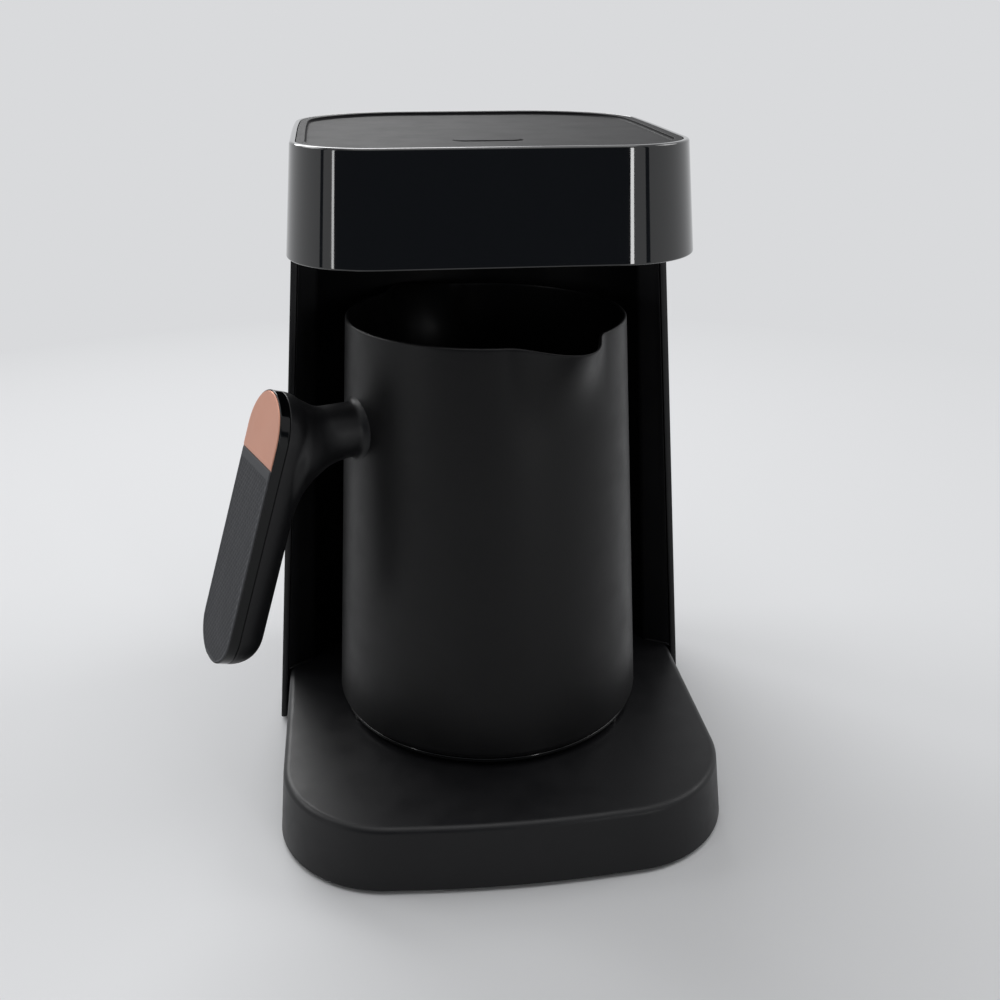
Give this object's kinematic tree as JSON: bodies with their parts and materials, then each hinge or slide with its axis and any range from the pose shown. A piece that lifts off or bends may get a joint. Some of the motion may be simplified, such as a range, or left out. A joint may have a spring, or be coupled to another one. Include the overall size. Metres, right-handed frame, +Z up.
{
  "type": "electric turkish coffee maker",
  "caption": "Electric coffee machine with a tapered column, a base and an overhanging head; a heated pot with a side handle stands in the niche.",
  "frame": {"origin": "on the table, under the axis of the pot where it stands in the niche", "axes": "+Z up, the front of the machine towards -Y, +X to the right as seen from the front"},
  "size_m": [0.1965, 0.2042, 0.245],
  "materials": {
    "satin_shell": "satin black moulded ABS, fine grain",
    "gloss_black": "polished piano-black moulding",
    "panel_satin": "smooth satin black",
    "pot_enamel": "fine-grained matt black coating on steel",
    "matt_plastic": "plain matt black",
    "grey_rubber": "soft grey rubber with a fine diamond texture",
    "foot_rubber": "plain black",
    "copper_plate": "satin rose-copper anodising",
    "steel": "bright zinc-plated",
    "heater_aluminium": "plain cast",
    "brass": "plain turned",
    "board": "green laminate",
    "grey_plastic": "plain moulded"
  },
  "bodies": {
    "machine": {"base_shell": "satin_shell", "base_cover": "matt_plastic", "rubber_feet": "foot_rubber", "cover_screws": "steel", "connector_hub": "matt_plastic", "hub_plug": "grey_plastic", "contact_springs": "steel", "niche_shell": "satin_shell", "outer_skin": "satin_shell", "column_screws": "steel", "power_board": "board", "board_screws": "steel", "power_relay": "grey_plastic", "power_supply": "grey_plastic", "terminal_block": "grey_plastic", "cord_gland": "matt_plastic", "control_loom": "grey_plastic", "head_band": "gloss_black", "top_panel": "panel_satin", "underside_plate": "matt_plastic", "head_screws": "steel", "sensor_window": "gloss_black", "sensor_holder": "matt_plastic", "control_board": "board", "button_switch": "matt_plastic", "buzzer": "matt_plastic", "button_spring": "steel", "hub_loom": "grey_plastic"},
    "pot": {"pot_body": "pot_enamel", "foot_ring": "gloss_black", "pot_base_cover": "matt_plastic", "pot_studs": "steel", "pot_screws": "steel", "heater_disc": "heater_aluminium", "heating_element": "steel", "thermal_cutout": "steel", "pot_connector": "matt_plastic", "contact_rings": "brass", "handle_bracket": "steel", "handle_body": "satin_shell", "handle_trim": "gloss_black", "copper_inlay": "copper_plate", "rubber_grip": "grey_rubber", "handle_screw": "steel"},
    "button": {"start_button": "panel_satin"},
    "pins": {"contact_pins": "brass"}
  },
  "joints": [
    {"name": "pot_lift_out", "type": "slide", "parent": "machine", "child": "pot", "axis": [0, -0.989, 0.1478], "range_m": [0, 0.125]},
    {"name": "start_press", "type": "slide", "parent": "machine", "child": "button", "axis": [0, 0, -1], "range_m": [0, 0.0012], "stiffness_N_per_m": 900, "springref_m": -0.0008, "deforming": ["button_spring"]},
    {"name": "pin_press", "type": "slide", "parent": "machine", "child": "pins", "axis": [0, 0, -1], "range_m": [0, 0.0005], "stiffness_N_per_m": 1500, "springref_m": -0.001, "deforming": ["contact_springs"]}
  ]
}
